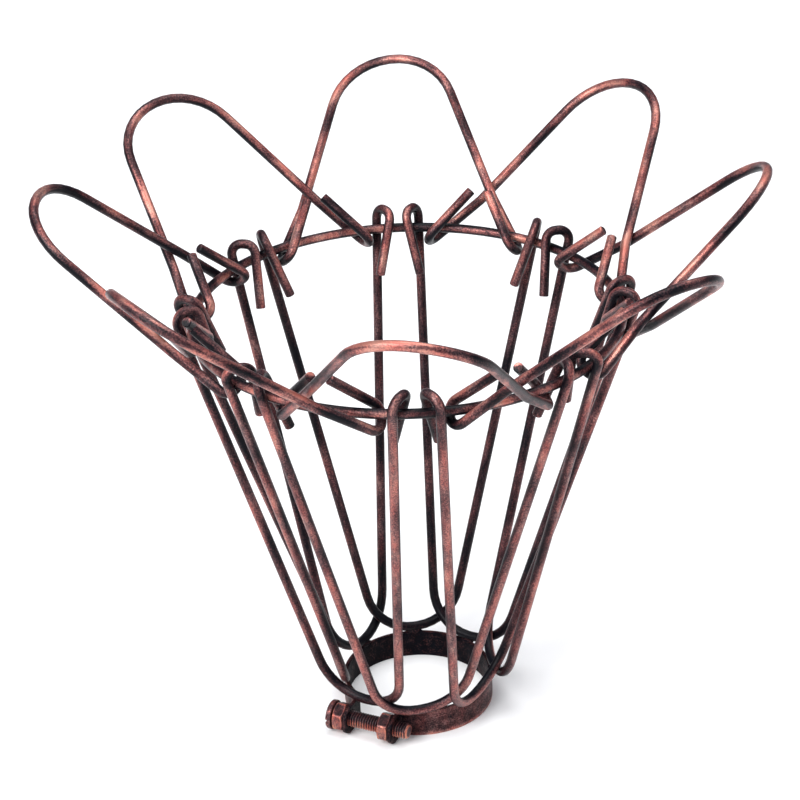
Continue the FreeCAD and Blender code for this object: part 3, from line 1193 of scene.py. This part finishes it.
@dataclass
class HexNut(SubAssembly):
    """Chamfered hexagon nut on the clamp screw."""

    collar: Collar
    name: str
    node: str
    body: str
    start: float
    thickness: float = 3.4
    across_flats: float = 7.8
    bore: float = 4.9
    countersink: float = 0.35
    chamfer_slope: float = radians(30)
    corner_round: float = 0.10
    face_share: float = 0.97
    face_edge: float = 0.05
    per_flat: int = 18
    turn: float = radians(30)
    grain_step: float = 37.0

    # Brushing of the bore and of the face, at distances in from its edge
    bore_bare: float = 0.05
    sink_bare: float = 0.03
    face_rings: tuple[Span, ...] = ((0.5, 0.05), (0.15, 0.10))
    face_edge_bare: float = 0.36

    # Brushing of the flats by how far they face up, and of the edges and corners round them
    flat_bare: Fade = Fade(0.7, 0.2, 0.20, 0.67)
    corner: Fade = Fade(-0.20, -0.02)
    corner_bare: float = 0.74
    edge_bare: float = 0.70
    edge_gain: float = 0.20
    edge_width: float = 0.18
    edge_fade: float = 0.45

    def profile(self, angle: float) -> list[Triple]:
        """Closed section through the nut at one angle.

        Args:
            angle: Angle about the axis, from level and outward.

        Returns:
            Points as distance along the axis, radius, and how far the black was brushed off.
        """
        flats = self.across_flats / 2
        widest = flats / cos(HEX_SECTOR / 2) - self.corner_round
        off_middle = (angle - self.turn) % HEX_SECTOR - HEX_SECTOR / 2
        reach = min(flats / cos(off_middle), widest)
        hole = self.bore / 2
        face = flats * self.face_share
        drop = max(reach - face, 0.0) * tan(self.chamfer_slope) + self.face_edge
        flat = self.flat_bare.at(sin(angle - off_middle))
        side = flat + (self.corner_bare - flat) * self.corner.at(reach - widest)
        half = [(0.0, hole + self.countersink, self.sink_bare)]
        half += [(0.0, face - inward, bare) for inward, bare in self.face_rings]
        half += [(self.face_edge, face, self.face_edge_bare), (drop, reach, self.edge_bare),
                 (drop + self.edge_width, reach, max(side, flat + self.edge_gain)),
                 (drop + self.edge_fade, reach, side)]
        back = [(self.thickness - along, radius, bare) for along, radius, bare in reversed(half)]
        sinks = (self.thickness - self.countersink, self.countersink)
        return half + back + [(along, hole, self.bore_bare) for along in sinks]

    def build(self) -> None:
        """Builds and dresses the nut."""
        made = MeshDraft()
        shift = Vector((0, self.grain_step * self.start, 0))
        loops = []
        for angle in round_angles(HEX_SIDES * self.per_flat):
            loop = []
            for along, radius, bare in self.profile(angle):
                spot = self.collar.on_screw(self.start + along, radius, angle)
                loop.append(made.add_point(spot, bare, spot + shift))
            loops.append(loop)
        made.skin(loops, closed=True)
        self.dress(made.build(self.name, self.collar.at_clamp()), self.body, self.node)


@dataclass(frozen=True)
class Lamp:
    """Square soft lamp, in metres and watts."""

    name: str
    place: Triple
    size: float
    power: float


@dataclass
class Studio:
    """Pale floor, soft light and the camera."""

    floor_half: float = 6.0
    floor_grey: float = 0.92
    floor_roughness: float = 0.9
    floor_shine: float = 0.1
    sky: float = 0.21
    sky_tint: Triple = (0.86, 0.94, 1.12)
    lamps: tuple[Lamp, ...] = (
        Lamp("key_lamp", (-1.35, -1.35, 1.6), 1.7, 76.0),
        Lamp("top_lamp", (0.25, 0.4, 2.2), 2.0, 42.0),
        Lamp("fill_lamp", (1.9, -1.1, 1.1), 1.6, 9.0),
    )

    # Camera fitted to the photograph, in radians, millimetres and pixels
    eye_elevation: float = 0.4782
    eye_roll: float = -0.0342
    eye_turn: float = -0.0231
    eye_distance: float = 747.3
    aim_across: float = -2.62
    aim_height: float = 99.54
    focal_pixels: float = 2635.0
    image_width: float = 800.0
    sensor: float = 36.0
    nearest: float = 10.0

    def floor(self) -> None:
        """Lays the floor under the collar."""
        half = self.floor_half
        mesh = bpy.data.meshes.new("studio_floor")
        mesh.from_pydata([(-half, -half, 0), (half, -half, 0), (half, half, 0), (-half, half, 0)], [],
                         [(0, 1, 2, 3)])
        paper = bpy.data.materials.new("studio_paper")
        paper.use_nodes = True
        shader = paper.node_tree.nodes["Principled BSDF"].inputs
        shader["Base Color"].default_value = (self.floor_grey,) * 3 + (1,)
        shader["Roughness"].default_value = self.floor_roughness
        shader["Specular IOR Level"].default_value = self.floor_shine
        mesh.materials.append(paper)
        add_object("studio_floor", mesh)

    def lights(self) -> None:
        """Hangs a pale sky and soft lamps, aimed at the middle of the guard."""
        world = bpy.data.worlds.new("studio_sky")
        world.use_nodes = True
        background = world.node_tree.nodes["Background"].inputs
        background["Color"].default_value = (*self.sky_tint, 1)
        background["Strength"].default_value = self.sky
        bpy.context.scene.world = world
        for lamp in self.lamps:
            light = bpy.data.lights.new(lamp.name, "AREA")
            light.size = lamp.size
            light.energy = lamp.power
            holder = add_object(lamp.name, light)
            holder.location = lamp.place
            aim = Vector((0, 0, self.aim_height * MM)) - Vector(lamp.place)
            holder.rotation_euler = aim.to_track_quat("-Z", "Y").to_euler()

    def camera(self) -> None:
        """Sets up the camera at the photograph's viewing angle."""
        tilt = Matrix.Rotation(QUARTER_TURN - self.eye_elevation, 4, "X")
        eye = Vector((self.aim_across, 0, self.aim_height)) + tilt @ UP * self.eye_distance
        placed = Matrix.Translation(eye * MM) @ tilt @ about_axis(self.eye_roll)
        lens = bpy.data.cameras.new("studio_camera")
        lens.sensor_width = self.sensor
        lens.lens = self.focal_pixels * self.sensor / self.image_width
        lens.clip_start = self.nearest * MM
        camera = add_object("studio_camera", lens)
        camera.matrix_world = about_axis(self.eye_turn) @ placed
        bpy.context.scene.camera = camera

    def build(self) -> None:
        """Sets up the whole studio."""
        bpy.context.scene.view_settings.view_transform = "Standard"
        self.floor()
        self.lights()
        self.camera()


def main() -> None:
    """Builds the guard piece by piece and sets up the studio."""
    logging.basicConfig(level=logging.INFO, format="%(message)s")
    Studio().build()
    ring_finish = AntiqueCopper("antique_copper_ring", Slot.WIRE, patches=Clouds(size=14.0, depth=1.50))
    petal_finish = AntiqueCopper("antique_copper_petal", Slot.WIRE)
    side_finish = AntiqueCopper("antique_copper_side_wire", Slot.WIRE,
                                patches=Clouds(size=5.0, depth=0.85, stretch=3.5))
    band_finish = AntiqueCopper("antique_copper_band", Slot.BAND, umber=(0.058, 0.021, 0.021),
                                patches=Clouds(size=3.0, depth=0.50), roughness=(0.45, 0.31),
                                shine=(0.04, 0.25))
    fastener_finish = AntiqueCopper("antique_copper_fasteners", Slot.FASTENERS, copper=(0.56, 0.172, 0.112),
                                    patches=Clouds(size=2.0, depth=0.50),
                                    specks=Clouds(size=0.35, depth=0.72, detail=4.0))
    ring = TopRing(ring_finish)
    ring.build()
    SideWires(side_finish, ring).build()
    Petals(petal_finish, ring).build()
    collar = Collar(band_finish)
    collar.build()
    FootWelds(band_finish, collar).build()
    ClampScrew(fastener_finish, collar).build()
    HexNut(fastener_finish, collar, "head_side_nut", "head_nut", "clamp_screw", start=-14.85).build()
    HexNut(fastener_finish, collar, "clamping_nut", "clamp_nut", "clamp_nut", start=-0.45).build()


if __name__ == "__main__":
    main()
